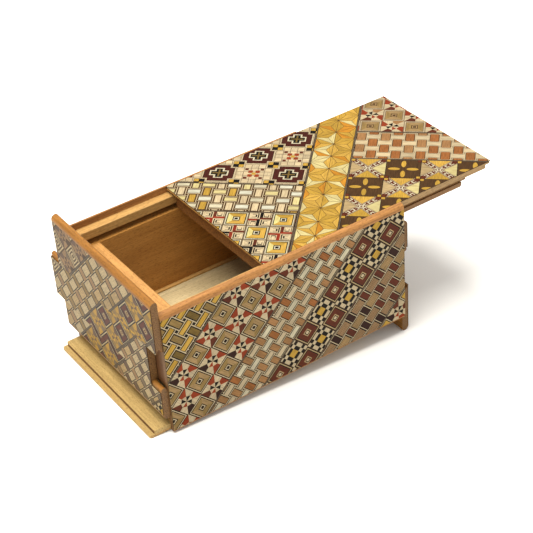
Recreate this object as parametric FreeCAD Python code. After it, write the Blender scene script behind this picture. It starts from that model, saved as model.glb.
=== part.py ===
"""Sliding-panel puzzle box, opened part way: fixed carcass, lid, base and two end panels of key strips.

Frame: +X along the box's length, +Y across it, +Z up.  The origin lies on the underside of the base
plate, in the middle of the closed box's footprint.  The whole mechanism is symmetrical about the
middle of the box by a half turn about the Y direction: the lid and left end become the base and
right end.  Each moving piece is modelled where it is when closed and then slid to its stored place.
"""
import FreeCAD, Part
import os

# Closed box, outside
LENGTH = 182.0
WIDTH = 114.0
HEIGHT = 85.4

# Boards
STRIP_T = 4.8                    # end strips, measured along X
WALL_T = 3.6                     # long outer walls
EDGE_R = 3.3                     # rounding of the long walls' top outer edges
EDGE_LOW_R = 1.0                 # rounding of their bottom outer edges
VENEER_TOP = 3.9                 # bare wood above the long walls' veneer
VENEER_LOW = 1.2                 # bare wood below it
STRIP_MARGIN = 4.2               # bare wood along the rounded edges of the end panels
VENEER_T = 0.5
LINER_T = 6.8                    # inner walls along the compartment
INNER_END_T = 5.4
FLOOR_T = 2.5
FLOOR_BORDER_W = 3.0
FLOOR_BORDER_H = 0.8
CAP_T = 3.0
CAP_EASE = 1.6                   # rounding of the cap's edge over the compartment
PLATE_EASE = 0.3
LINER_GAP = 1.0                  # between the liners and the runners above and below
FIT = 0.15                       # side clearance of the sliding boards
STRIP_GAP = 0.1                  # between the end strips and the wall ends
PLATE_END_GAP = 0.2              # from the closed lid's ends to the wall ends
TOUCH = 1e-6                     # two coordinates closer than this are the same

# Lid, and the base by the half turn
BOARD_T = 1.2
CORNER_R = 1.5                   # corners of the board, seen from above
CORE_T = 2.5
WEB_T = 6.4
RUNNER_T = 3.0
BOARD_OVERHANG = 3.2             # of the board over the core at each end
WEB_SETBACK = 15.0               # from the board's end, at the end that leads when it opens
RUNNER_SETBACK = 19.0
RUNNER_LIP = 1.0                 # how far the runner reaches past the web, under each rail

# Rails on the long walls
RAIL_W = 6.0
RAIL_H = 6.0
RAIL_EASE = 0.5                  # rounding of the rails' long edges
RAIL_SLACK = 0.2                 # between a rail and the plates above and below it
END_SPACE = 19.8                 # from the wall ends to the compartment
RAIL_INSET = 2.5                 # from the wall ends to the rail ends
CARCASS_INSET = 5.0              # from the wall ends to the liners, floor and caps

# End panel, strips counted from the tall one to the short one
SEAM_HIGH = 49.35                # tall strip above, middle strip below
SEAM_LOW = 20.85                 # middle strip above, short strip below
PANEL_MARGIN = 0.8               # panel edge inside the closed box's top and bottom
OUTER_NOSE_R = 2.9
INNER_NOSE_R = 1.7
TONGUE_R = 1.6
TONGUE_NECK = 2.5
TONGUE_RISE = 1.0
TONGUE_ROOT = 1.5                # depth of the tongue glued into its own strip
TONGUE_FIT = 0.1
SEAM_GAP = 0.1

# Carrier that takes an end panel up and down
CARRIER_T = 4.0
CARRIER_BACK = 0.3
CARRIER_LOW = 22.0
CARRIER_HIGH = 48.0
CARRIER_SIDE_GAP = 0.2
TENON_SET = 1.6                  # from the carrier's outer face to its tenons
TENON_T = 2.0
TENON_FIT = 0.2
TENON_L = 1.6
HOUSING_LOW = 12.0
KEY_Y = 20.0
KEY_L = 26.0
KEY_H = 10.0
KEY_FLANGE_H = 14.0
KEY_FLANGE_T = 1.8
SLOT_END_GAP = 0.3
LUG_Y = 75.0
LUG_L = 20.0
LUG_H = 6.0
LUG_LOW = 32.0
LUG_T = 3.6
BATTEN_H = 5.0
BATTEN_MARGIN = 3.0

# Stored places, as slides away from closed
LID_OUT = 72.0
BASE_OUT = 14.3
LEFT_LIFT = 10.3
RIGHT_DROP = 14.2
FULL_LIFT = 14.2
TALL_SLIDE = {"left": 0.8, "right": 2.9}
MIDDLE_SLIDE = {"left": 11.5, "right": 11.5}
SHORT_SLIDE = {"left": 1.5, "right": 3.1}

WALL_LENGTH = LENGTH - 2 * STRIP_T
X_END = WALL_LENGTH / 2
Y_OUT = WIDTH / 2
Y_IN = Y_OUT - WALL_T
Y_RAIL = Y_IN - RAIL_W
Y_LINER = Y_IN - LINER_T
LID_T = VENEER_T + BOARD_T + CORE_T
RAIL_TOP = HEIGHT - LID_T - RAIL_SLACK
WEB_LOW = RAIL_TOP + RAIL_SLACK - WEB_T
RUNNER_LOW = WEB_LOW - RUNNER_T
CARCASS_TOP = RUNNER_LOW - LINER_GAP
CARCASS_LOW = HEIGHT - CARCASS_TOP
X_ROOM = X_END - END_SPACE


def block(x0, x1, y0, y1, z0, z1):
    """A board between two opposite corners."""
    corner = FreeCAD.Vector(min(x0, x1), min(y0, y1), min(z0, z1))
    return Part.makeBox(abs(x1 - x0), abs(y1 - y0), abs(z1 - z0), corner)


def moved(shape, x=0.0, y=0.0, z=0.0):
    """A copy slid by the given distances."""
    copy = shape.copy()
    copy.translate(FreeCAD.Vector(x, y, z))
    return copy


def turned_over(shape):
    """A copy given a half turn about the Y direction through the middle of the closed box."""
    copy = shape.copy()
    copy.rotate(FreeCAD.Vector(0, 0, HEIGHT / 2), FreeCAD.Vector(0, 1, 0), 180)
    return copy


def mirrored_across(shape):
    """The matching piece on the other long side."""
    return shape.mirror(FreeCAD.Vector(0, 0, 0), FreeCAD.Vector(0, 1, 0))


def along_y(face_points, y0, y1):
    """A prism along Y from a closed outline of (x, z) points."""
    wire = Part.makePolygon([FreeCAD.Vector(x, y0, z) for x, z in face_points + face_points[:1]])
    return Part.Face(wire).extrude(FreeCAD.Vector(0, y1 - y0, 0))


def rod_y(x, z, radius, y0, y1):
    """A round bar along Y."""
    return Part.makeCylinder(radius, y1 - y0, FreeCAD.Vector(x, y0, z), FreeCAD.Vector(0, 1, 0))


def rounded(shape, edges, radius):
    """The shape with the chosen edges rounded."""
    return shape.makeFillet(radius, [edge for edge in shape.Edges if edges(edge)])


def at(value, target):
    """Whether two coordinates agree."""
    return abs(value - target) < TOUCH


def runs_at(**places):
    """A test for straight edges whose two ends both lie at the named coordinates."""
    def test(edge):
        ends = [vertex.Point for vertex in edge.Vertexes]
        return len(ends) == 2 and all(
            at(getattr(end, axis), place) for end in ends for axis, place in places.items())
    return test


def either(*tests):
    """A test passed by an edge that passes any of the given ones."""
    return lambda edge: any(test(edge) for test in tests)


def upright_corners(x, y):
    """A test for the four vertical edges of a board centred on the box."""
    return either(*(runs_at(x=side * x, y=far * y) for side in (-1, 1) for far in (-1, 1)))


def save(name, shape):
    """Write one piece as its own file."""
    shape.exportStep("parts/%s.step" % name)


# ---- fixed carcass ----------------------------------------------------------------------------

def front_wall():
    """Long outer wall with rounded outer edges, a veneer recess and a housing near each end."""
    wall = block(-X_END, X_END, -Y_OUT, -Y_IN, 0, HEIGHT)
    wall = rounded(wall, runs_at(y=-Y_OUT, z=HEIGHT), EDGE_R)
    wall = rounded(wall, runs_at(y=-Y_OUT, z=0), EDGE_LOW_R)
    wall = wall.cut(front_veneer())
    outer = X_END - CARRIER_BACK - TENON_SET + TENON_FIT
    inner = outer - TENON_T - 2 * TENON_FIT
    for side in (-1, 1):
        housing = block(side * outer, side * inner, -Y_IN - TENON_L, -Y_IN,
                        HOUSING_LOW, HEIGHT - HOUSING_LOW)
        wall = wall.cut(housing)
    return wall


def front_veneer():
    """Inlaid skin on the flat of the front wall."""
    return block(-X_END, X_END, -Y_OUT, -Y_OUT + VENEER_T, VENEER_LOW, HEIGHT - VENEER_TOP)


def front_lid_rail():
    """Rail that the lid's groove runs on."""
    reach = X_END - RAIL_INSET
    rail = block(-reach, reach, -Y_IN, -Y_RAIL, RAIL_TOP - RAIL_H, RAIL_TOP)
    return rounded(rail, either(runs_at(y=-Y_RAIL, z=RAIL_TOP), runs_at(y=-Y_RAIL, z=RAIL_TOP - RAIL_H)),
                   RAIL_EASE)


def front_liner():
    """Inner wall of the compartment, glued behind the front wall."""
    reach = X_END - CARCASS_INSET
    return block(-reach, reach, -Y_IN, -Y_LINER, CARCASS_LOW, CARCASS_TOP)


def left_inner_end():
    """End wall of the compartment, standing on the floor."""
    return block(-X_ROOM, -X_ROOM - INNER_END_T, -Y_LINER, Y_LINER,
                 CARCASS_LOW + FLOOR_T, CARCASS_TOP - CAP_T)


def left_end_cap():
    """Pale board that covers the space between end panel and compartment."""
    cap = block(-X_ROOM, -X_END + CARCASS_INSET, -Y_LINER, Y_LINER, CARCASS_TOP - CAP_T, CARCASS_TOP)
    return rounded(cap, runs_at(x=-X_ROOM, z=CARCASS_TOP), CAP_EASE)


def left_stop_battens():
    """Two battens that stop the carrier's lug at the bottom and top of its travel."""
    y0 = -Y_OUT + LUG_Y - BATTEN_MARGIN
    y1 = -Y_OUT + LUG_Y + LUG_L + BATTEN_MARGIN
    x0 = -X_ROOM - INNER_END_T
    x1 = -X_END + CARRIER_BACK + CARRIER_T + FIT
    low_top = LUG_LOW - FIT
    high_bottom = LUG_LOW + LUG_H + FULL_LIFT + FIT
    return Part.makeCompound([
        block(x0, x1, y0, y1, low_top - BATTEN_H, low_top),
        block(x0, x1, y0, y1, high_bottom, high_bottom + BATTEN_H)])


def floor_panel():
    """Floor of the compartment, running under both inner end walls."""
    reach = X_END - CARCASS_INSET
    return block(-reach, reach, -Y_LINER, Y_LINER, CARCASS_LOW, CARCASS_LOW + FLOOR_T)


def floor_border():
    """Thin strip laid round the edge of the floor."""
    z0 = CARCASS_LOW + FLOOR_T
    frame = block(-X_ROOM, X_ROOM, -Y_LINER, Y_LINER, z0, z0 + FLOOR_BORDER_H)
    inner_x = X_ROOM - FLOOR_BORDER_W
    inner_y = Y_LINER - FLOOR_BORDER_W
    return frame.cut(block(-inner_x, inner_x, -inner_y, inner_y, z0, z0 + FLOOR_BORDER_H))


# ---- lid --------------------------------------------------------------------------------------

def lid_pieces():
    """Five layers of the closed lid, from the veneer down to the runner that locks under the rails."""
    y = Y_IN - FIT
    x = X_END - PLATE_END_GAP
    core_x = x - BOARD_OVERHANG
    board_low = HEIGHT - VENEER_T - BOARD_T
    core_low = board_low - CORE_T
    web_y = Y_RAIL - FIT
    runner_y = web_y + RUNNER_LIP
    runner = block(-core_x, x - RUNNER_SETBACK, -runner_y, runner_y, RUNNER_LOW, WEB_LOW)
    nose = runs_at(x=x - RUNNER_SETBACK, z=RUNNER_LOW)
    core = rounded(block(-core_x, core_x, -y, y, core_low, board_low), upright_corners(core_x, y), CORNER_R)
    board = rounded(block(-x, x, -y, y, board_low, HEIGHT - VENEER_T), upright_corners(x, y), CORNER_R)
    veneer = rounded(block(-x, x, -y, y, HEIGHT - VENEER_T, HEIGHT), upright_corners(x, y), CORNER_R)
    web = block(-core_x, x - WEB_SETBACK, -web_y, web_y, WEB_LOW, core_low)
    web_nose = runs_at(x=x - WEB_SETBACK, z=WEB_LOW)
    return {
        "veneer": veneer,
        "board": board,
        "core": core,
        "web": rounded(web, web_nose, PLATE_EASE),
        "runner": rounded(runner, nose, RUNNER_T / 2),
    }


# ---- left end panel ---------------------------------------------------------------------------

STRIP_IN = -X_END - STRIP_GAP
STRIP_OUT = STRIP_IN - STRIP_T
STRIP_MID = (STRIP_IN + STRIP_OUT) / 2


def tongue(seam):
    """Loose bulb-headed tongue, glued into the strip below a seam and running in the strip above."""
    neck = TONGUE_NECK / 2
    post = block(STRIP_MID - neck, STRIP_MID + neck, -Y_OUT, Y_OUT,
                 seam - TONGUE_ROOT, seam + TONGUE_RISE)
    return post.fuse(rod_y(STRIP_MID, seam + TONGUE_RISE, TONGUE_R, -Y_OUT, Y_OUT)).removeSplitter()


def tongue_groove(seam):
    """What the strip above a seam loses to let the tongue slide."""
    neck = TONGUE_NECK / 2 + TONGUE_FIT
    post = block(STRIP_MID - neck, STRIP_MID + neck, -Y_OUT, Y_OUT, seam - TONGUE_ROOT, seam + TONGUE_RISE)
    return post.fuse(rod_y(STRIP_MID, seam + TONGUE_RISE, TONGUE_R + TONGUE_FIT, -Y_OUT, Y_OUT))


def strip_body(z0, z1):
    """One strip of the end panel between two heights."""
    return block(STRIP_OUT, STRIP_IN, -Y_OUT, Y_OUT, z0, z1)


def strip_veneer(z0, z1):
    """The inlaid skin of a strip between two heights."""
    return block(STRIP_OUT, STRIP_OUT + VENEER_T, -Y_OUT, Y_OUT, z0, z1)


def nosed(strip, z):
    """The strip with its free long edge rounded, more on the outside than on the inside."""
    strip = rounded(strip, runs_at(x=STRIP_OUT, z=z), OUTER_NOSE_R)
    return rounded(strip, runs_at(x=STRIP_IN, z=z), INNER_NOSE_R)


def end_pieces():
    """Strips, tongues, veneers, key, carrier and lug of the closed left end."""
    top = HEIGHT - PANEL_MARGIN
    tall_veneer = strip_veneer(SEAM_HIGH + SEAM_GAP, HEIGHT - STRIP_MARGIN)
    middle_veneer = strip_veneer(SEAM_LOW + SEAM_GAP, SEAM_HIGH)
    short_veneer = strip_veneer(STRIP_MARGIN, SEAM_LOW)
    tall = nosed(strip_body(SEAM_HIGH + SEAM_GAP, top), top)
    middle = strip_body(SEAM_LOW + SEAM_GAP, SEAM_HIGH)
    short = nosed(strip_body(PANEL_MARGIN, SEAM_LOW), PANEL_MARGIN)
    return {
        "tall_strip": tall.cut(tall_veneer).cut(tongue_groove(SEAM_HIGH)),
        "tall_veneer": tall_veneer,
        "middle_strip": middle.cut(middle_veneer).cut(tongue_groove(SEAM_LOW)).cut(tongue(SEAM_HIGH)),
        "middle_veneer": middle_veneer,
        "middle_tongue": tongue(SEAM_HIGH),
        "middle_key": middle_key(),
        "short_strip": short.cut(short_veneer).cut(tongue(SEAM_LOW)),
        "short_veneer": short_veneer,
        "short_tongue": tongue(SEAM_LOW),
        "carrier": carrier(),
        "carrier_lug": carrier_lug(),
    }


def middle_key():
    """Flanged key that ties the middle strip to the carrier and lets it slide across."""
    y0 = -Y_OUT + KEY_Y
    middle = (SEAM_LOW + SEAM_HIGH) / 2
    back = -X_END + CARRIER_BACK + CARRIER_T + FIT
    stem = block(STRIP_IN, back, y0, y0 + KEY_L, middle - KEY_H / 2, middle + KEY_H / 2)
    flange = block(back, back + KEY_FLANGE_T, y0, y0 + KEY_L,
                   middle - KEY_FLANGE_H / 2, middle + KEY_FLANGE_H / 2)
    return stem.fuse(flange).removeSplitter()


def carrier():
    """Board that slides up and down in the walls' housings, slotted for the key."""
    x0 = -X_END + CARRIER_BACK
    y = Y_IN - CARRIER_SIDE_GAP
    board = block(x0, x0 + CARRIER_T, -y, y, CARRIER_LOW, CARRIER_HIGH)
    tenon_x = x0 + TENON_SET
    tenons = block(tenon_x, tenon_x + TENON_T, -y - TENON_L, y + TENON_L, CARRIER_LOW, CARRIER_HIGH)
    middle = (SEAM_LOW + SEAM_HIGH) / 2
    y0 = -Y_OUT + KEY_Y
    slot = block(x0, x0 + CARRIER_T, y0 - SLOT_END_GAP, y0 + KEY_L + MIDDLE_SLIDE["left"] + SLOT_END_GAP,
                 middle - KEY_H / 2 - FIT, middle + KEY_H / 2 + FIT)
    return board.fuse(tenons).removeSplitter().cut(slot)


def carrier_lug():
    """Block on the back of the carrier that meets the stop battens."""
    x0 = -X_END + CARRIER_BACK + CARRIER_T
    y0 = -Y_OUT + LUG_Y
    return block(x0, x0 + LUG_T, y0, y0 + LUG_L, LUG_LOW, LUG_LOW + LUG_H)


# ---- the whole box ----------------------------------------------------------------------------

def save_carcass():
    """Write the fixed pieces, front and rear, left and right."""
    for name, shape in (("wall", front_wall()), ("veneer", front_veneer()),
                        ("lid_rail", front_lid_rail()), ("liner", front_liner())):
        save("front_" + name, shape)
        save("rear_" + name, mirrored_across(shape))
    base_rail = turned_over(front_lid_rail())
    save("front_base_rail", base_rail)
    save("rear_base_rail", mirrored_across(base_rail))
    for name, shape in (("inner_end", left_inner_end()), ("end_cap", left_end_cap())):
        save("left_" + name, shape)
        save("right_" + name, shape.mirror(FreeCAD.Vector(0, 0, 0), FreeCAD.Vector(1, 0, 0)))
    save("left_stop_battens", left_stop_battens())
    save("right_stop_battens", turned_over(left_stop_battens()))
    save("floor_panel", floor_panel())
    save("floor_border", floor_border())


def save_plates():
    """Write the lid slid to the right and the base slid to the left."""
    for name, shape in lid_pieces().items():
        save("lid_" + name, moved(shape, x=LID_OUT))
        save("base_" + name, moved(turned_over(shape), x=-BASE_OUT))


def save_ends():
    """Write the raised left end and the dropped right end, their strips shifted across."""
    for name, shape in end_pieces().items():
        slides = {"tall": TALL_SLIDE, "middle": MIDDLE_SLIDE, "short": SHORT_SLIDE}.get(
            name.split("_")[0], {"left": 0.0, "right": 0.0})
        save("left_" + name, moved(shape, y=slides["left"], z=LEFT_LIFT))
        save("right_" + name, moved(turned_over(shape), y=slides["right"], z=-RIGHT_DROP))


os.makedirs("parts", exist_ok=True)
save_carcass()
save_plates()
save_ends()
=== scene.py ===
import bpy
import math
import random
from mathutils import Matrix, Vector
from mathutils.geometry import delaunay_2d_cdt


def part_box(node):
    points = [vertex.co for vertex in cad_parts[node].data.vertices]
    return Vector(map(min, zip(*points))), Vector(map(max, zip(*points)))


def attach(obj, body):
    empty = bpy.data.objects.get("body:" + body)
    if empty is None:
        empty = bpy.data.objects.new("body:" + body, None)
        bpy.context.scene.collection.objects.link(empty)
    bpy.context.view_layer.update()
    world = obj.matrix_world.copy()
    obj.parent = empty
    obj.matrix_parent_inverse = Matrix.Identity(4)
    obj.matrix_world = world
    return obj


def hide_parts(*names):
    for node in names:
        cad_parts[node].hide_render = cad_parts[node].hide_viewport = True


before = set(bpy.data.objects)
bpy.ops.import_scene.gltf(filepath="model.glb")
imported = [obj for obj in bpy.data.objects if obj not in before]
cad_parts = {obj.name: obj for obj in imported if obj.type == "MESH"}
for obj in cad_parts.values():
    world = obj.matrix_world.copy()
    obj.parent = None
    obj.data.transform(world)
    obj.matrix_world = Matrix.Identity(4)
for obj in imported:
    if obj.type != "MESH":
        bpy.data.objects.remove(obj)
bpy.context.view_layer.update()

MM = 0.001
UNIT = 0.8613                    # the unit that the inlay patterns are drawn in, in mm
WALL_LENGTH = 172.4              # long walls, between the end panels, in mm
HALF_WIDTH = 57.0
HEIGHT = 85.4
LEFT_LIFT, RIGHT_DROP = 10.3, 14.2   # of the end panels, from where they close the box
ALBEDO = 0.68                    # darkening of every wood, to suit the strong light of the scene
rng = random.Random(11)


# ---- materials --------------------------------------------------------------------------------

SRGB_KNEE = 10.3                 # of 255, where the sRGB curve leaves its straight foot
MIX_FACTOR, MIX_A, MIX_B, MIX_RESULT = 0, 6, 7, 2


def linear(colour):
    """sRGB 0..255 to linear RGBA, darkened."""
    return tuple(ALBEDO * ((c / 255 / 12.92) if c < SRGB_KNEE else ((c / 255 + 0.055) / 1.055) ** 2.4)
                 for c in colour) + (1.0,)


def shades(colour, spread):
    """Darker and lighter shade of a colour."""
    low = tuple(max(0, c * (1 - spread) - 4) for c in colour)
    high = tuple(min(255, c * (1 + spread * 0.6) + 3) for c in colour)
    return linear(low), linear(high)


def new_material(name):
    material = bpy.data.materials.new(name)
    material.use_nodes = True
    tree = material.node_tree
    return material, tree, tree.nodes["Principled BSDF"]


def link(tree, a, out, b, into):
    tree.links.new(a.outputs[out], b.inputs[into])


def add_node(tree, kind, values=None):
    node = tree.nodes.new("ShaderNode" + kind)
    for socket, value in (values or {}).items():
        node.inputs[socket].default_value = value
    return node


def add_noise(tree, source, out, stretch, values):
    """Noise on a set of coordinates, stretched by one factor per axis."""
    mapping = add_node(tree, "Mapping", {"Scale": stretch})
    link(tree, source, out, mapping, "Vector")
    noise = add_node(tree, "TexNoise", {"Scale": 1.0, **values})
    link(tree, mapping, "Vector", noise, "Vector")
    return noise


def add_ramp(tree, source, low, high, colours):
    ramp = add_node(tree, "ValToRGB")
    for end, place, colour in zip(ramp.color_ramp.elements, (low, high), colours):
        end.position = place
        end.color = colour
    link(tree, source, "Fac", ramp, "Fac")
    return ramp


def add_range(tree, source, out, values):
    node = add_node(tree, "MapRange", values)
    link(tree, source, out, node, "Value")
    return node


def add_mix(tree, kind):
    node = add_node(tree, "Mix")
    node.data_type = "RGBA"
    node.blend_type = kind
    return node


def add_bump(tree, source, bsdf, strength, distance):
    bump = add_node(tree, "Bump", {"Strength": strength, "Distance": distance})
    link(tree, source, "Fac", bump, "Height")
    link(tree, bump, "Normal", bsdf, "Normal")


INLAY_SPREAD, INLAY_ROUGHNESS = 0.16, 0.42
BOARD_ROUGHNESS = 0.48


def inlay_wood(name, colour):
    """Veneer whose grain follows each cut tile, through the tile's own grain coordinates."""
    material, tree, bsdf = new_material("inlay_" + name)
    where = add_node(tree, "Attribute")
    where.attribute_name = "grain"
    fibre = add_noise(tree, where, "Vector", (0.16, 2.2, 1.0), {"Detail": 4.0})
    ramp = add_ramp(tree, fibre, 0.3, 0.72, shades(colour, INLAY_SPREAD))
    tone = add_node(tree, "Attribute")
    tone.attribute_name = "tone"
    blend = add_mix(tree, "MULTIPLY")
    blend.inputs[MIX_FACTOR].default_value = 1.0
    link(tree, ramp, "Color", blend, MIX_A)
    link(tree, tone, "Color", blend, MIX_B)
    link(tree, blend, MIX_RESULT, bsdf, "Base Color")
    gloss = add_range(tree, fibre, "Fac",
                      {"To Min": INLAY_ROUGHNESS - 0.06, "To Max": INLAY_ROUGHNESS + 0.10})
    link(tree, gloss, "Result", bsdf, "Roughness")
    bsdf.inputs["Specular IOR Level"].default_value = 0.07
    add_bump(tree, fibre, bsdf, 0.12, 0.00005)
    return material


def board_wood(name, colour, dark, along="X", spread=0.12, rings=0.5, end_colour=(124, 88, 52),
               dark_face_axis=None):
    """Solid board: long fibres, wider growth bands and pores along one axis, end grain across it."""
    material, tree, bsdf = new_material(name)
    where = add_node(tree, "TexCoord")

    def stretch(lengthwise, across):
        return [lengthwise if axis == along else across for axis in "XYZ"]

    fibre = add_noise(tree, where, "Object", stretch(40, 900), {"Detail": 5.0, "Roughness": 0.6})
    band = add_noise(tree, where, "Object", stretch(7, 90), {"Detail": 3.0, "Distortion": 0.6})
    pores = add_noise(tree, where, "Object", stretch(500, 1700), {"Detail": 2.0})
    ramp = add_ramp(tree, fibre, 0.28, 0.75, shades(colour, spread))
    growth = add_range(tree, band, "Fac", {"From Min": 0.42, "From Max": 0.68, "To Max": rings})
    tint = add_mix(tree, "MIX")
    link(tree, growth, "Result", tint, MIX_FACTOR)
    link(tree, ramp, "Color", tint, MIX_A)
    tint.inputs[MIX_B].default_value = linear(dark)
    open_pores = add_range(tree, pores, "Fac", {"From Min": 0.52, "From Max": 0.68, "To Max": 0.45})
    flecked = add_mix(tree, "MIX")
    link(tree, open_pores, "Result", flecked, MIX_FACTOR)
    link(tree, tint, MIX_RESULT, flecked, MIX_A)
    flecked.inputs[MIX_B].default_value = shades(dark, 0.3)[0]
    facing = add_node(tree, "SeparateXYZ")
    link(tree, where, "Normal", facing, "Vector")
    size = add_node(tree, "Math")
    size.operation = "ABSOLUTE"
    link(tree, facing, dark_face_axis or along, size, 0)
    is_end = add_range(tree, size, "Value", {"From Min": 0.75, "From Max": 0.9})
    end_ramp = add_ramp(tree, pores, 0.3, 0.7, shades(end_colour, 0.3))
    ends = add_mix(tree, "MIX")
    link(tree, is_end, "Result", ends, MIX_FACTOR)
    link(tree, flecked, MIX_RESULT, ends, MIX_A)
    link(tree, end_ramp, "Color", ends, MIX_B)
    link(tree, ends, MIX_RESULT, bsdf, "Base Color")
    gloss = add_range(tree, band, "Fac",
                      {"To Min": BOARD_ROUGHNESS - 0.08, "To Max": BOARD_ROUGHNESS + 0.12})
    link(tree, gloss, "Result", bsdf, "Roughness")
    bsdf.inputs["Specular IOR Level"].default_value = 0.2
    add_bump(tree, fibre, bsdf, 0.25, 0.00008)
    return material


INLAY_WOODS = {
    "cream": (222, 202, 164), "white": (234, 222, 190), "ivory": (246, 238, 210),
    "tan": (190, 156, 106), "dust": (178, 142, 102), "olive": (164, 134, 80),
    "moss": (132, 106, 50), "yellow": (214, 170, 68), "gold": (232, 184, 82),
    "pale": (248, 222, 146), "amber": (222, 152, 46), "terracotta": (164, 64, 28),
    "orange": (180, 132, 84), "copper": (172, 108, 56), "maroon": (108, 48, 24), "wine": (80, 28, 14),
    "purple": (56, 26, 14), "black": (18, 10, 2), "brown": (88, 60, 30), "grey": (140, 120, 96),
    "pink": (242, 212, 170), "mauve": (122, 96, 78), "red": (160, 50, 22), "sand": (206, 178, 130),
    "straw": (248, 220, 156)}
inlay_materials = {name: inlay_wood(name, colour) for name, colour in INLAY_WOODS.items()}
inlay_order = list(INLAY_WOODS)


# ---- inlay drawing ----------------------------------------------------------------------------

def clip(points, a, b, c):
    """The part of a convex polygon where a x + b y <= c."""
    out = []
    for i, here in enumerate(points):
        there = points[(i + 1) % len(points)]
        d0 = a * here[0] + b * here[1] - c
        d1 = a * there[0] + b * there[1] - c
        if d0 <= 0:
            out.append(here)
        if d0 * d1 < 0:
            t = d0 / (d0 - d1)
            out.append((here[0] + t * (there[0] - here[0]), here[1] + t * (there[1] - here[1])))
    return out


class Inlay:
    """Cut tiles of one sheet, as (layer, wood, points, grain direction, tone), in pattern units."""

    def __init__(self, turn):
        self.turn = math.radians(turn)
        self.tiles = []
        self.window = None

    def place(self, p, q):
        c, s = math.cos(self.turn), math.sin(self.turn)
        return (c * p - s * q, s * p + c * q)

    def poly(self, layer, wood, points, grain=0.0, tone=None):
        if self.window:
            p0, p1, q0, q1 = self.window
            for a, b, c in ((-1, 0, -p0), (1, 0, p1), (0, -1, -q0), (0, 1, q1)):
                points = clip(points, a, b, c)
                if len(points) < 3:
                    return
        if tone is None:
            tone = rng.uniform(0.86, 1.06)
        self.tiles.append((layer, wood, [self.place(*point) for point in points],
                           self.turn + math.radians(grain), tone))

    def rect(self, layer, wood, p, q, w, h, turn=0.0, grain=0.0, tone=None):
        c, s = math.cos(math.radians(turn)), math.sin(math.radians(turn))
        corners = [(-w / 2, -h / 2), (w / 2, -h / 2), (w / 2, h / 2), (-w / 2, h / 2)]
        self.poly(layer, wood, [(p + c * x - s * y, q + s * x + c * y) for x, y in corners],
                  turn + grain, tone)

    def shrunk(self, layer, wood, points, inset, grain):
        """A triangle pulled in by the same distance on every side."""
        a, b, c = points
        la, lb, lc = math.dist(b, c), math.dist(a, c), math.dist(a, b)
        total = la + lb + lc
        centre = tuple((la * a[i] + lb * b[i] + lc * c[i]) / total for i in (0, 1))
        area = abs((b[0] - a[0]) * (c[1] - a[1]) - (c[0] - a[0]) * (b[1] - a[1])) / 2
        k = max(0.0, 1 - inset / (2 * area / total))
        self.poly(layer, wood, [tuple(centre[i] + k * (v[i] - centre[i]) for i in (0, 1))
                                for v in points], grain)


def cells(window, p0, q0, pitch_p, pitch_q):
    """Every lattice place that can reach into a window, with its two counts."""
    a, b, c, d = window
    reach_p = sorted(((a - p0) / pitch_p, (b - p0) / pitch_p))
    reach_q = sorted(((c - q0) / pitch_q, (d - q0) / pitch_q))
    for i in range(math.floor(reach_p[0]) - 1, math.ceil(reach_p[1]) + 2):
        for j in range(math.floor(reach_q[0]) - 1, math.ceil(reach_q[1]) + 2):
            yield i, j, p0 + i * pitch_p, q0 + j * pitch_q


def mitred(ink, layer, woods, p, q, w, h):
    """Square field of four mitred triangles, with painted light and shade: fixed tones for how
    differently each catches the light.
    """
    corners = [(p + x * w / 2, q + y * h / 2) for x, y in ((-1, -1), (1, -1), (1, 1), (-1, 1))]
    for k, tone in enumerate((0.98, 0.88, 1.03, 0.92)):
        ink.poly(layer, woods[k % len(woods)], [corners[k], corners[(k + 1) % 4], (p, q)], 90 * k, tone)


EYE_SIZE = 0.31                  # ringed square in the middle, of its tile
EYE_STEP = 0.27                  # from one of its rings to the next, of its own size


def eye(ink, p, q, w, h, field, outer=("black", "cream", "black"),
        centre=("black", "cream", "black"), step=0.66):
    """Concentric square: thin outlines, a mitred field and a small ringed eye."""
    for k, wood in enumerate(outer):
        ink.rect(1 + k, wood, p, q, w - 2 * step * k, h - 2 * step * k, tone=1)
    inset = 2 * step * len(outer)
    mitred(ink, 1 + len(outer), field, p, q, w - inset, h - inset)
    size = min(w, h) * EYE_SIZE
    for k, wood in enumerate(centre):
        side = size * (1 - EYE_STEP * k)
        ink.rect(2 + len(outer) + k, wood, p, q, side, side, tone=1)


NEAR, WAIST = 0.38, 0.62         # ends of a blade's slanting cut, from the middle to the rim


def pinwheel(ink, p, q, w, h, blades, light="cream", hub=("black", "black", "terracotta", "black")):
    """Star of eight wedges, each with a slanting cut where light and dark change places."""
    rim = [(p + w / 2 * x, q + h / 2 * y) for x, y in
           ((1, 0), (1, 1), (0, 1), (-1, 1), (-1, 0), (-1, -1), (0, -1), (1, -1))]
    for k in range(8):
        corner, middle = (rim[k + 1 - 8], rim[k]) if k % 2 == 0 else (rim[k], rim[k + 1 - 8])
        near = tuple(c + NEAR * (v - c) for c, v in zip((p, q), corner))
        waist = tuple(c + WAIST * (v - c) for c, v in zip((p, q), middle))
        dark = blades[(k // 2) % len(blades)]
        ink.poly(1, dark if k % 2 else light, [corner, near, waist, middle], 45 * k)
        ink.poly(1, light if k % 2 else hub[k // 2], [(p, q), near, waist], 45 * k + 90)


CHECKS = ((-7.35, 2.9), (-4.4, 3.0), (0.0, 5.8), (4.4, 3.0), (7.35, 2.9))
CHECKS_SPAN = 17.6


def checker(ink, p, q, w, h):
    """Five by five checks, wide in the middle, round a yellow square."""
    x, y = w / CHECKS_SPAN, h / CHECKS_SPAN
    for i, (u, across) in enumerate(CHECKS):
        for j, (v, up) in enumerate(CHECKS):
            wood = "black" if (i + j) % 2 else "cream"
            if i == j == 2:
                wood = "yellow"
            ink.rect(1, wood, p + u * x, q + v * y, across * x, up * y, tone=1)


STRIPE_WIDTH = 0.25              # of the dark lines along a brick


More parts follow.
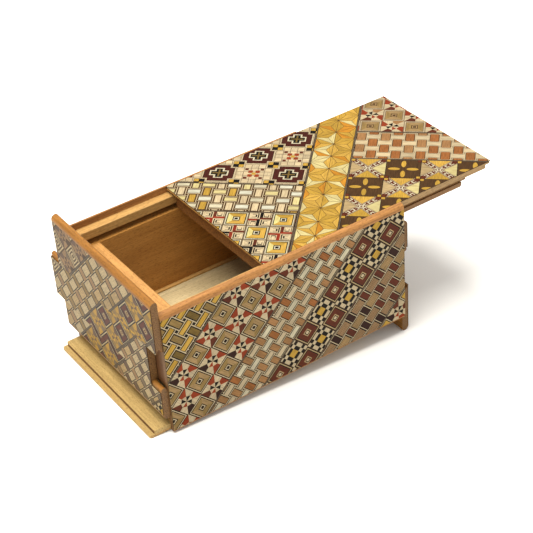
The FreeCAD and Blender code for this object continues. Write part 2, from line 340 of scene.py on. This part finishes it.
def weave(ink, window, p0, q0, pitch_p, pitch_q, along, across, along_woods, across_woods,
          along_lines=(), across_lines=(), ground="black", line="cream", width=0.6, stripes=0,
          reach=1.0):
    """Basket weave: bricks along the band at odd places and across it at even ones.

    The lines are light stringing laid beside a brick, given by their distances from its long edges.
    """
    ink.window = window
    a, b, c, d = window
    ink.poly(0, ground, [(a, c), (b, c), (b, d), (a, d)], tone=1)
    for i, j, p, q in cells(window, p0, q0, pitch_p, pitch_q):
        odd = (i + j) % 2
        length, thick = along if odd else across
        turn = 0 if odd else 90
        woods, lines = (along_woods, along_lines) if odd else (across_woods, across_lines)
        for distance in lines:
            for side in (-1, 1):
                shift = side * (thick / 2 + distance)
                x, y = (p, q + shift) if odd else (p - shift, q)
                ink.rect(1 if odd else 2, line, x, y, length + reach, width, turn=turn, tone=1)
        ink.rect(3, woods[rng.randrange(len(woods))], p, q, length, thick, turn=turn)
        if odd:
            for k in range(stripes):
                ink.rect(4, "brown", p, q + thick * ((k + 1) / (stripes + 1) - 0.5), length,
                         STRIPE_WIDTH, tone=1)
    ink.window = None


def border(ink, q, p0, p1, across=False):
    """Band edge of dark, light and dark stringing."""
    for layer, wood, width in ((8, "black", 1.7), (9, "grey", 0.9), (10, "black", 0.3)):
        if across:
            ink.rect(layer, wood, q, (p0 + p1) / 2, width, p1 - p0, tone=1)
        else:
            ink.rect(layer, wood, (p0 + p1) / 2, q, p1 - p0, width, tone=1)


FAR = 320                        # beyond every edge of every sheet


def wall_inlay():
    """Diagonal bands of the long walls."""
    ink = Inlay(45)
    weave(ink, (-FAR, FAR, 30.4, FAR), 60.4, 44.8, 9.45, 9.45, (10.8, 3.7), (10.3, 4.2),
          ("yellow", "yellow", "gold"), ("olive", "moss", "olive"), (1.2,), (1.2,),
          width=0.75, reach=2.4)
    ink.window = (-FAR, FAR, -18.4, 30.4)
    for i, j, p, q in cells((-20, 220, -18.4, 30.4), 39.6, 22.4, 16.3, -16.3):
        if (i + j) % 2:
            eye(ink, p, q, 16.1, 16.1, ("olive", "tan"), ("black", "cream", "black"))
        else:
            blades = (("terracotta", "purple", "terracotta"), ("terracotta", "maroon", "purple"),
                      ("terracotta", "terracotta", "maroon"))[(i + 2 * j) % 3]
            pinwheel(ink, p, q, 16.3, 16.3, blades)
    weave(ink, (-FAR, FAR, -51.3, -18.4), 97.4, -23.5, 8.0, 8.0, (8.8, 3.8), (8.5, 4.4),
          ("cream", "white", "cream"), ("orange", "copper", "orange", "orange"), (1.05,), (0.95,),
          width=0.6)
    ink.window = (-FAR, FAR, -84.1, -51.3)
    for i, j, p, q in cells((-20, 220, -84.1, -51.3), 100.6, -59.2, 17.75, -16.6):
        if (i + j) % 2:
            checker(ink, p, q, 17.75, 16.6)
        else:
            eye(ink, p, q, 17.0, 16.0, ("maroon",), ("black", "sand", "black"),
                ("sand", "black", "cream"), 0.75)
    weave(ink, (-FAR, FAR, -123.2, -84.1), 141.8, -90.2, 9.33, 9.33, (10.4, 6.6), (9.2, 4.1),
          ("tan", "dust", "tan"), ("maroon", "purple", "maroon", "maroon"), (0.9,), (0.8,),
          width=0.55, stripes=4)
    ink.window = (-FAR, FAR, -FAR, -123.2)
    for i, j, p, q in cells((60, 220, -150, -123.2), 143.0, -131.5, 16.5, -16.5):
        if (i + j) % 2:
            eye(ink, p, q, 16.5, 16.5, ("yellow", "gold"))
        else:
            pinwheel(ink, p, q, 16.5, 16.5, ("maroon", "purple", "terracotta"))
    ink.window = None
    for q in (30.4, -18.4, -51.3, -84.1, -123.2):
        border(ink, q, -FAR, FAR)
    return ink


HOOKS = ((3, "black", 0.38, 0.25), (4, "pink", 0.33, 0.28), (5, "black", 0.20, 0.25),
         (6, "pink", 0.15, 0.285))   # layer, wood, size and distance out, of the tile
ARM_REACH, ARM_LENGTH, ARM_WIDTH, ARM_ASIDE = 0.25, 0.48, 0.14, 0.05


def meander(ink, p, q, w, h):
    """Cream key pattern: hooks in the four quarters round a red and dark cross."""
    ink.rect(1, "black", p, q, w, h, tone=1)
    ink.rect(2, "pink", p, q, w - 0.8, h - 0.8)
    for k, (i, j) in enumerate(((1, 1), (-1, 1), (-1, -1), (1, -1))):
        for layer, wood, size, out in HOOKS:
            x, y = (out, 0.25) if k % 2 else (0.25, out)
            ink.rect(layer, wood, p + i * w * x, q + j * h * y, w * size, h * size, tone=1)
    arms = tuple(("red", "red", "maroon", "black")[rng.randrange(4)] for _ in range(4))
    for k, wood in enumerate(arms):
        c, s = round(math.cos(k * math.pi / 2)), round(math.sin(k * math.pi / 2))
        aside = ARM_ASIDE * (1 if k % 2 else -1)
        ink.rect(7, wood, p + (c * ARM_REACH - s * aside) * w, q + (s * ARM_REACH + c * aside) * h,
                 w * ARM_LENGTH, h * ARM_WIDTH, turn=90 * k)


def notched(ink, layer, wood, p, q, w, h, cut):
    """Square with a square notch out of each corner."""
    ink.rect(layer, wood, p, q, w, h - 2 * cut, tone=1)
    for side in (-1, 1):
        ink.rect(layer, wood, p, q + side * (h - cut) / 2, w - 2 * cut, cut, tone=1)


NOTCHED_RINGS = ((2, "black", 0.97), (3, "cream", 0.945), (4, "black", 0.87), (5, "wine", 0.84))
NOTCH, NOTCH_TAPER = 0.17, 0.25  # of the tile, at the outer ring, and its change from ring to ring
CROSS = ((6, "white", 0.54, 0.27), (7, "black", 0.46, 0.18), (8, "moss", 0.38, 0.05))


def notched_tile(ink, p, q, w, h):
    """Dark notched square with an outlined cross."""
    ink.rect(1, "pink", p, q, w, h, tone=1)
    for layer, wood, size in NOTCHED_RINGS:
        notch = w * (NOTCH - (NOTCHED_RINGS[0][2] - size) * NOTCH_TAPER)
        notched(ink, layer, wood, p, q, w * size, h * size, notch)
    for layer, wood, length, width in CROSS:
        ink.rect(layer, wood, p, q, w * length, h * width, tone=1)
        for side in (-1, 1):
            ink.rect(layer, wood, p, q + side * h * (length + width) / 4, w * width,
                     h * (length - width) / 2, tone=1)


PANEL_COUNT = 5                  # scored fields along a side
SCORE_WIDTH = 0.5
PETAL_SIDE = 0.105               # side of a flower's square, of the tile


def flower_panel(ink, p, q, w, h):
    """Cream panel scored into fields, with a small flower of squares."""
    ink.rect(1, "grey", p, q, w, h, tone=1)
    n = PANEL_COUNT
    for i in range(n):
        for j in range(n):
            odd = (i + j) % 2
            ink.rect(2, "pink" if odd else "cream", p + (i - n // 2) * w / n, q + (j - n // 2) * h / n,
                     w / n - SCORE_WIDTH, h / n - SCORE_WIDTH, grain=90 * odd)
    side = w * PETAL_SIDE
    for i, j in ((1, 1), (1, -1), (-1, 1), (-1, -1)):
        ink.rect(3, "terracotta", p + i * side, q + j * side, side * 1.3, side * 1.3)
        ink.rect(3, "maroon", p + i * side * 2.2, q + j * side * 2.2, side, side)
    ink.rect(4, "yellow", p, q, side * 1.2, side * 1.2, tone=1)


CORNER_INSIDE = 0.86             # of a corner square, inside its dark outline
CORNER_LAYER = 9


def corner_squares(ink, p, q, w, h, woods, size):
    """Four small squares where tiles meet."""
    inside = size * CORNER_INSIDE
    for k, (i, j) in enumerate(((1, 1), (-1, 1), (-1, -1), (1, -1))):
        x, y = p + w / 2 + i * size / 2, q + h / 2 + j * size / 2
        ink.rect(CORNER_LAYER, "black", x, y, size, size, tone=1)
        ink.rect(CORNER_LAYER + 1, woods[k % len(woods)], x, y, inside, inside, tone=1)


BEADS = ((0.14, 0.10), (0.30, 0.12), (0.47, 0.12))   # distance out along a bar, and size
BEAD_SHIFT = 0.02                # of a bead's dark core, outwards


def star_tile(ink, p, q, w, h, woods):
    """Four bright triangles parted by beaded bars along the diagonals."""
    ink.rect(1, "maroon", p, q, w, h, tone=1)
    for k in range(4):
        c, s = round(math.cos(k * math.pi / 2)), round(math.sin(k * math.pi / 2))
        for layer, wood, foot, tip in ((2, "cream", 0.37, 0.09), (3, "black", 0.345, 0.115),
                                       (4, woods[k], 0.33, 0.13)):
            corners = [(p + w * (c * x - s * y), q + h * (s * x + c * y))
                       for x, y in ((0.5, -foot), (0.5, foot), (tip, 0))]
            ink.poly(layer, wood, corners, 90 * k, None if layer == 4 else 1)
    for turn in (45, 135, 225, 315):
        c, s = math.cos(math.radians(turn)), math.sin(math.radians(turn))
        for reach, size in BEADS:
            ink.rect(5, "white", p + c * reach * w, q + s * reach * h, w * size, w * size,
                     turn=turn, tone=1)
            out = reach + BEAD_SHIFT
            ink.rect(6, "maroon", p + c * out * w, q + s * out * h, w * size * 0.7, w * size * 0.55,
                     turn=turn, tone=1)
    ink.rect(7, "white", p, q, w * 0.13, h * 0.13, tone=1)
    ink.rect(8, "maroon", p, q, w * 0.06, h * 0.06, tone=1)


PETAL_REACH, PETAL_LENGTH, PETAL_WIDTH = 0.27, 0.175, 0.07   # of the tile, half across a petal


def petal_tile(ink, p, q, w, h):
    """Dark square with four bright petals."""
    ink.rect(1, "black", p, q, w, h, tone=1)
    ink.rect(2, "brown", p, q, w - 0.8, h - 0.8, tone=1)
    for turn in (0, 90, 180, 270):
        c, s = math.cos(math.radians(turn)), math.sin(math.radians(turn))
        oval = [(math.cos(t * math.pi / 8) * w * PETAL_LENGTH + w * PETAL_REACH,
                 math.sin(t * math.pi / 8) * w * PETAL_WIDTH) for t in range(16)]
        ink.poly(3, "yellow", [(p + c * x - s * y, q + s * x + c * y) for x, y in oval], turn)


def hemp_leaf(ink, q0, p0, side, rows, lo, hi):
    """Hemp-leaf stars: equilateral triangles, each cut in three from its middle."""
    rise = side * math.sqrt(3) / 2
    ink.window = (lo, hi, q0 - rise, q0 + rise)
    ink.rect(0, "brown", (lo + hi) / 2, q0, hi - lo, 2 * rise, tone=1)
    golds = ("gold", "straw", "yellow", "amber", "gold", "yellow", "straw", "yellow")
    gap = 0.16
    for k in range(rows):
        p = p0 + k * side
        for way in (-1, 1):
            foot, next_foot = (p, q0), (p + side, q0)
            peak, next_peak = (p + side / 2, q0 + way * rise), (p + side * 1.5, q0 + way * rise)
            for three in ((foot, next_foot, peak), (peak, next_peak, next_foot)):
                middle = (sum(v[0] for v in three) / 3, sum(v[1] for v in three) / 3)
                for n in range(3):
                    a, b = three[n], three[(n + 1) % 3]
                    edge = math.degrees(math.atan2(b[1] - a[1], b[0] - a[0]))
                    ink.shrunk(1, golds[rng.randrange(len(golds))], [a, b, middle], gap, edge)
    ink.window = None


def lid_inlay():
    """Two fields of bands that meet a hemp-leaf band."""
    ink = Inlay(47)
    left, right = -74.3, -103.9  # edges of the hemp-leaf band
    big = (24.6, 25.5)
    ink.window = (157.0, FAR, left, FAR)
    for i, j, p, q in cells((157.0, 245, left, 60), 170.9, -9.6, big[0], -big[1]):
        if (i + j) % 2:
            flower_panel(ink, p, q, *big)
        else:
            notched_tile(ink, p, q, *big)
        corner_squares(ink, p, q, *big, ("yellow", "black"), 4.0)
    weave(ink, (121.5, 157.0, left, FAR), 145.8, 4.2, 9.0, 9.35, (9.2, 4.3), (8.9, 4.1),
          ("pink", "pink", "yellow", "pink", "straw"), ("ivory", "white", "ivory", "straw"),
          (1.35,), (1.0,), "brown", "cream", 0.6)
    ink.window = (-FAR, 121.5, left, FAR)
    for i, j, p, q in cells((40, 121.5, left, 20), 112.9, -31.7, -16.5, -16.55):
        if (i + j) % 2:
            meander(ink, p, q, 16.5, 16.55)
        else:
            eye(ink, p, q, 16.3, 16.3, ("gold", "yellow", "pale", "gold"), ("grey", "white", "black"),
                ("black", "white", "black"))
    ink.window = (233.0, FAR, -FAR, right)
    for i, j, p, q in cells((233.0, 300, -200, right), 241.2, -113.6, 16.5, -16.7):
        if (i + j) % 2:
            pinwheel(ink, p, q, 16.5, 16.7, ("terracotta", "maroon", "terracotta", "orange"))
        else:
            eye(ink, p, q, 16.4, 16.6, ("olive", "tan"), ("grey", "cream", "grey"),
                ("brown", "tan", "brown"))
    weave(ink, (194.9, 233.0, -FAR, right), 217.7, -108.5, 8.2, 9.05, (10.2, 6.2), (9.6, 4.8),
          ("copper", "orange", "copper"), ("cream", "cream", "pink"), (0.9,), (0.7,),
          "brown", "cream", 0.6)
    ink.window = (-FAR, 194.9, -FAR, right)
    for i, j, p, q in cells((60, 194.9, -240, right), 132.5, -117.0, 24.8, -25.6):
        if (i + j) % 2:
            petal_tile(ink, p, q, 24.8, 25.6)
        else:
            star_tile(ink, p, q, 24.8, 25.6, ("gold", "sand", "yellow", "straw"))
        corner_squares(ink, p, q, 24.8, 25.6, ("yellow", "maroon"), 3.0)
    ink.window = None
    triangle = 17.05
    hemp_leaf(ink, -88.9, 94.9 - triangle * 5, triangle, 20, 20, FAR)
    for q in (left, right):
        border(ink, q, -FAR, FAR)
    for p in (157.0, 121.5):
        border(ink, p, left, FAR, across=True)
    for p in (233.0, 194.9):
        border(ink, p, -FAR, right, across=True)
    return ink


def end_inlay():
    """Quieter diagonal bands of the end panels."""
    ink = Inlay(-45)
    ink.window = (-FAR, FAR, 131.3, FAR)
    for i, j, p, q in cells((-40, 120, 131.3, 180), 11.8, 139.0, 16.5, 16.5):
        if (i + j) % 2:
            pinwheel(ink, p, q, 16.5, 16.5, ("mauve", "grey", "brown"), "dust", ("mauve", "brown") * 2)
        else:
            for k in range(7):
                side = 16.4 - 2.3 * k
                ink.rect(1 + k, "cream" if k % 2 else "brown", p, q, side, side, tone=1)
    weave(ink, (-FAR, FAR, 92.5, 131.3), -37.1, 96.8, 9.4, 9.45, (11.0, 7.2), (10.0, 5.4),
          ("cream", "cream", "sand"), ("olive", "dust", "olive"), (1.1,), (), width=0.7)
    ink.window = (-FAR, FAR, 59.0, 92.5)
    for i, j, p, q in cells((-100, 80, 59.0, 92.5), -50.5, 66.8, 16.5, 16.7):
        if (i + j) % 2:
            pinwheel(ink, p, q, 16.5, 16.7, ("olive", "mauve", "grey", "olive"), "yellow",
                     ("mauve", "olive") * 2)
        else:
            eye(ink, p, q, 16.2, 16.4, ("maroon", "wine"), ("black", "cream", "black"),
                ("grey", "sand", "maroon", "sand"), 0.8)
    weave(ink, (-FAR, FAR, 22.6, 59.0), -20.5, 38.7, 7.8, 7.9, (9.2, 5.8), (8.2, 4.6),
          ("cream", "cream", "sand"), ("mauve", "dust", "grey"), (0.95,), (), width=0.65)
    ink.window = (-FAR, FAR, -FAR, 22.6)
    for i, j, p, q in cells((-100, 80, -40, 22.6), -13.0, 14.2, 16.5, 16.5):
        checker(ink, p, q, 16.5, 16.5)
    ink.window = None
    for q in (131.3, 92.5, 59.0, 22.6):
        border(ink, q, -FAR, FAR)
    return ink


VALID_FACES = 4                  # the triangulator's mode that returns whole faces
SAME_POINT = 1e-5
SEED_SPAN = 60                   # range of the grain offsets from tile to tile


def counter_clockwise(outline):
    """The outline, reversed if it runs clockwise."""
    area = sum(a[0] * b[1] - b[0] * a[1] for a, b in zip(outline, outline[1:] + outline[:1]))
    return outline if area > 0 else outline[::-1]


def cut_to(ink, u0, u1, v0, v1):
    """The tiles clipped to a rectangle, lowest layer first, on a backing that fills it."""
    tiles = [("brown", [(u0, v0), (u1, v0), (u1, v1), (u0, v1)], 0.0, 1.0)]
    for _, wood, outline, grain, tone in sorted(ink.tiles, key=lambda tile: tile[0]):
        for a, b, c in ((-1, 0, -u0), (1, 0, u1), (0, -1, -v0), (0, 1, v1)):
            outline = clip(outline, a, b, c)
            if len(outline) < 3:
                break
        else:
            tiles.append((wood, counter_clockwise(outline), grain, tone))
    return tiles


def sheet(name, ink, node, body, origin, u_axis, v_axis, normal, tint):
    """Cuts an inlay to a veneer's rectangle: one closed sheet whose face is divided into the tiles."""
    origin, u_axis, v_axis, normal = (Vector(v) for v in (origin, u_axis, v_axis, normal))
    corners = [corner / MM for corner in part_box(node)]
    u0, u1 = sorted((corner - origin).dot(u_axis) / UNIT for corner in corners)
    v0, v1 = sorted((corner - origin).dot(v_axis) / UNIT for corner in corners)
    back, face = sorted(corner.dot(normal) for corner in corners)
    flip = u_axis.cross(v_axis).dot(normal) < 0
    tiles = cut_to(ink, u0, u1, v0, v1)
    flat, outlines = [], []
    for _, outline, _, _ in tiles:
        outlines.append(list(range(len(flat), len(flat) + len(outline))))
        flat.extend(Vector(point) for point in outline)
    flat, _, pieces, _, _, covers = delaunay_2d_cdt(flat, [], outlines, VALID_FACES, SAME_POINT)
    seeds = [rng.uniform(0, SEED_SPAN) for _ in tiles]

    def place(point, height):
        spot = origin + point[0] * UNIT * u_axis + point[1] * UNIT * v_axis
        return tuple((spot + (height - spot.dot(normal)) * normal) * MM)

    points = [place(point, face) for point in flat]
    faces, slots, grains, tones, rim = [], [], [], [], {}
    for ring, cover in zip(pieces, covers):
        if 0 not in cover:
            continue
        wood, _, grain, tone = tiles[max(cover)]
        seed = seeds[max(cover)]
        for a, b in zip(ring, ring[1:] + ring[:1]):
            if rim.pop((b, a), None) is None:
                rim[(a, b)] = True
        ring = ring[::-1] if flip else ring
        c, s = math.cos(grain), math.sin(grain)
        faces.append(ring)
        slots.append(inlay_order.index(wood))
        grains.append([(c * flat[k].x + s * flat[k].y, c * flat[k].y - s * flat[k].x + seed, seed)
                       for k in ring])
        tones.append(tone)
    under = {}
    for a, _ in rim:
        under[a] = len(points)
        points.append(place(flat[a], back))
    centre = len(points)
    points.append(place(((u0 + u1) / 2, (v0 + v1) / 2), back))
    for a, b in rim:
        for ring in ([b, a, under[a], under[b]], [under[b], under[a], centre]):
            faces.append(ring[::-1] if flip else ring)
            slots.append(inlay_order.index("brown"))
            grains.append([(0.0, 0.0, 0.0)] * len(ring))
            tones.append(1.0)
    mesh = bpy.data.meshes.new(name)
    mesh.from_pydata(points, [], faces)
    for wood in inlay_order:
        mesh.materials.append(inlay_materials[wood])
    mesh.polygons.foreach_set("material_index", slots)
    grain_data = mesh.attributes.new("grain", "FLOAT_VECTOR", "CORNER")
    grain_data.data.foreach_set("vector", [x for ring in grains for corner in ring for x in corner])
    # the tone attribute: each tile's random tone times the sheet's tint, which carries the sheet's
    # painted light and shade
    tone_data = mesh.attributes.new("tone", "FLOAT_COLOR", "CORNER")
    tone_data.data.foreach_set("color", [x for ring, tone in zip(grains, tones) for _ in ring
                                         for x in (*(tone * t for t in tint), 1.0)])
    piece = bpy.data.objects.new(name, mesh)
    bpy.context.scene.collection.objects.link(piece)
    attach(piece, body)
    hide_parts(node)


FRONT_LEFT = (-WALL_LENGTH / 2, -HALF_WIDTH, 0)
REAR_RIGHT = (WALL_LENGTH / 2, HALF_WIDTH, 0)
# tints of the inlays, partly their woods' own colour and partly painted light and shade: each is fitted
# to how brightly its face is lit
WALL_TINT_AND_SHADE, LID_TINT_AND_SHADE, END_TINT_AND_SHADE = (0.76, 0.75, 0.72), (0.65, 0.635, 0.60), (0.60, 0.56, 0.46)
wall = wall_inlay()
sheet("front_marquetry", wall, "front_veneer", "carcass",
      FRONT_LEFT, (1, 0, 0), (0, 0, 1), (0, -1, 0), WALL_TINT_AND_SHADE)
sheet("rear_marquetry", wall, "rear_veneer", "carcass",
      REAR_RIGHT, (-1, 0, 0), (0, 0, 1), (0, 1, 0), WALL_TINT_AND_SHADE)
lid = lid_inlay()
sheet("lid_marquetry", lid, "lid_veneer", "lid",
      FRONT_LEFT, (1, 0, 0), (0, 1, 0), (0, 0, 1), LID_TINT_AND_SHADE)
end = end_inlay()
# how far each strip of the end panels is slid towards the rear, and the inlay with it
LEFT_SLIDE = {"tall": 0.8, "middle": 11.5, "short": 1.5}
RIGHT_SLIDE = {"tall": 2.9, "middle": 11.5, "short": 3.1}
front_edge = -HALF_WIDTH - LEFT_SLIDE["tall"]
for kind in ("tall", "middle", "short"):
    sheet("left_%s_marquetry" % kind, end, "left_%s_veneer" % kind, "left_" + kind,
          (0, front_edge + LEFT_SLIDE[kind], 0), (0, 1, 0), (0, 0, 1), (-1, 0, 0), END_TINT_AND_SHADE)
    sheet("right_%s_marquetry" % kind, end, "right_%s_veneer" % kind, "right_" + kind,
          (0, front_edge + RIGHT_SLIDE[kind], HEIGHT - RIGHT_DROP + LEFT_LIFT),
          (0, 1, 0), (0, 0, -1), (1, 0, 0), END_TINT_AND_SHADE)


# ---- boards -----------------------------------------------------------------------------------

WOODS = {
    "edge_x": board_wood("edge_x", (186, 130, 72), (140, 88, 42), "X", 0.2, rings=0.55),
    "edge_y": board_wood("edge_y", (172, 116, 46), (126, 78, 26), "Y", 0.2, rings=0.6,
                         end_colour=(124, 88, 48)),
    # darker copy of edge_y for the short strips: painted shade, where the low strips sit in shadow
    "shaded_edge_y": board_wood("shaded_edge_y", (158, 120, 76), (128, 92, 54), "Y", rings=0.5, end_colour=(124, 88, 48)),
    "rail": board_wood("rail", (206, 160, 94), (184, 130, 72), "X", rings=0.3,
                       end_colour=(190, 140, 84)),
    "cap": board_wood("cap", (208, 152, 86), (184, 124, 62), "Y", rings=0.3),
    "lining_x": board_wood("lining_x", (214, 152, 76), (176, 116, 50), "X", rings=0.5),
    "lining_y": board_wood("lining_y", (190, 134, 70), (150, 98, 46), "Y", rings=0.5),
    "floor": board_wood("floor", (222, 200, 152), (208, 180, 128), "X", rings=0.3),
    "border": board_wood("border", (214, 164, 94), (186, 134, 70), "X", rings=0.3),
    "plate": board_wood("plate", (206, 174, 110), (184, 146, 86), "Y", 0.14, rings=0.5,
                        end_colour=(190, 150, 90)),
    # step: the plate's wood, but with its darker end colour on the faces across X instead of Y, which
    # draws a dark line along the base's step
    "step": board_wood("step", (206, 174, 110), (184, 146, 86), "Y", 0.14, rings=0.5, dark_face_axis="X"),
    "board": board_wood("board", (184, 148, 98), (150, 114, 70), "X", rings=0.4,
                        end_colour=(202, 150, 80)),
    "runner": board_wood("runner", (160, 118, 72), (126, 86, 48), "X", rings=0.4,
                         end_colour=(150, 100, 52)),
    "key": board_wood("key", (120, 80, 44), (90, 56, 30), "Y"),
}
FINISH = {}
for side in ("front", "rear"):
    FINISH.update({side + "_wall": "edge_x", side + "_lid_rail": "rail", side + "_base_rail": "rail",
                   side + "_liner": "lining_x"})
for side in ("left", "right"):
    FINISH.update({side + "_inner_end": "lining_y", side + "_end_cap": "cap",
                   side + "_stop_battens": "key", side + "_carrier": "key",
                   side + "_carrier_lug": "key", side + "_middle_key": "key",
                   side + "_tall_strip": "edge_y", side + "_middle_strip": "edge_y",
                   side + "_short_strip": "shaded_edge_y", side + "_middle_tongue": "edge_y",
                   side + "_short_tongue": "edge_y"})
FINISH.update({"floor_panel": "floor", "floor_border": "border", "lid_board": "board",
               "lid_core": "board", "lid_web": "runner", "lid_runner": "runner"})
FINISH.update({"base_" + part: "plate" for part in ("veneer", "board", "web", "runner")})
FINISH["base_core"] = "step"
for node, wood in FINISH.items():
    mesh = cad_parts[node].data
    mesh.materials.clear()
    mesh.materials.append(WOODS[wood])


# ---- stage ------------------------------------------------------------------------------------

AZIMUTH, ELEVATION, ROLL = -32.23, 35.82, -4.373
FOCAL_PX, IMAGE_PX, SENSOR = 1502.6, 533, 36.0
CLIP_END = 20                    # in m
AIM = Vector((100, 60, 48)) * UNIT * MM + Vector(FRONT_LEFT) * MM
OFFSET = Vector((-17.444, -8.519, 1072.555)) * UNIT * MM


def make_camera():
    a, e, r = (math.radians(v) for v in (AZIMUTH, ELEVATION, ROLL))
    back = Vector((math.sin(a) * math.cos(e), -math.cos(a) * math.cos(e), math.sin(e)))
    right = Vector((math.cos(a), math.sin(a), 0))
    up = back.cross(right)
    right, up = math.cos(r) * right + math.sin(r) * up, math.cos(r) * up - math.sin(r) * right
    camera = bpy.data.objects.new("camera", bpy.data.cameras.new("camera"))
    bpy.context.scene.collection.objects.link(camera)
    camera.data.sensor_width = SENSOR
    camera.data.lens = FOCAL_PX / IMAGE_PX * SENSOR
    camera.data.clip_end = CLIP_END
    camera.matrix_world = Matrix((right, up, back)).transposed().to_4x4()
    camera.location = AIM + OFFSET.z * back - OFFSET.x * right - OFFSET.y * up
    bpy.context.scene.camera = camera


TABLE = 4.0                      # from the middle to an edge, in m
PANEL_FOOT, FOOT_DISTANCE = 13.4, 188.3   # how far the dropped panel reaches down, and from the edge
TABLE_EDGE = (-0.1003, 0, -0.0001)        # where the base's left edge rests, in m


def add_floor():
    """Pale table, tilted because the box stands on its base's left edge and the dropped end panel."""
    mesh = bpy.data.meshes.new("floor")
    corners = [(-TABLE, -TABLE, 0), (TABLE, -TABLE, 0), (TABLE, TABLE, 0), (-TABLE, TABLE, 0)]
    mesh.from_pydata(corners, [], [(0, 1, 2, 3)])
    floor = bpy.data.objects.new("floor", mesh)
    bpy.context.scene.collection.objects.link(floor)
    slope = math.atan2(PANEL_FOOT, FOOT_DISTANCE)
    floor.matrix_world = Matrix.Translation(TABLE_EDGE) @ Matrix.Rotation(slope, 4, "Y")
    material, tree, bsdf = new_material("table")
    noise = tree.nodes.new("ShaderNodeTexNoise")
    noise.inputs["Scale"].default_value = 3.0
    ramp = tree.nodes.new("ShaderNodeValToRGB")
    ramp.color_ramp.elements[0].color = (0.86, 0.85, 0.82, 1)
    ramp.color_ramp.elements[1].color = (0.90, 0.89, 0.86, 1)
    link(tree, noise, "Fac", ramp, "Fac")
    link(tree, ramp, "Color", bsdf, "Base Color")
    bsdf.inputs["Roughness"].default_value = 0.6
    mesh.materials.append(material)


LIGHT_AIM = Vector((0, 0, 0.05))


def area_light(name, place, size, power, colour):
    """Square light that faces the middle of the box."""
    data = bpy.data.lights.new(name, "AREA")
    data.size = size
    data.energy = power
    data.color = colour
    lamp = bpy.data.objects.new(name, data)
    bpy.context.scene.collection.objects.link(lamp)
    lamp.location = place
    lamp.rotation_euler = (LIGHT_AIM - Vector(place)).to_track_quat("-Z", "Y").to_euler()


make_camera()
add_floor()
area_light("key", (-0.3, 0.05, 1.6), 1.1, 53, (1, 0.98, 0.94))
area_light("fill", (-0.9, -1.5, 0.9), 1.2, 2, (1, 0.99, 0.97))
world = bpy.data.worlds.new("studio")
bpy.context.scene.world = world
world.use_nodes = True
sky = world.node_tree.nodes["Background"].inputs
sky["Color"].default_value = (1, 0.985, 0.96, 1)
sky["Strength"].default_value = 0.82
bpy.context.scene.view_settings.view_transform = "Standard"
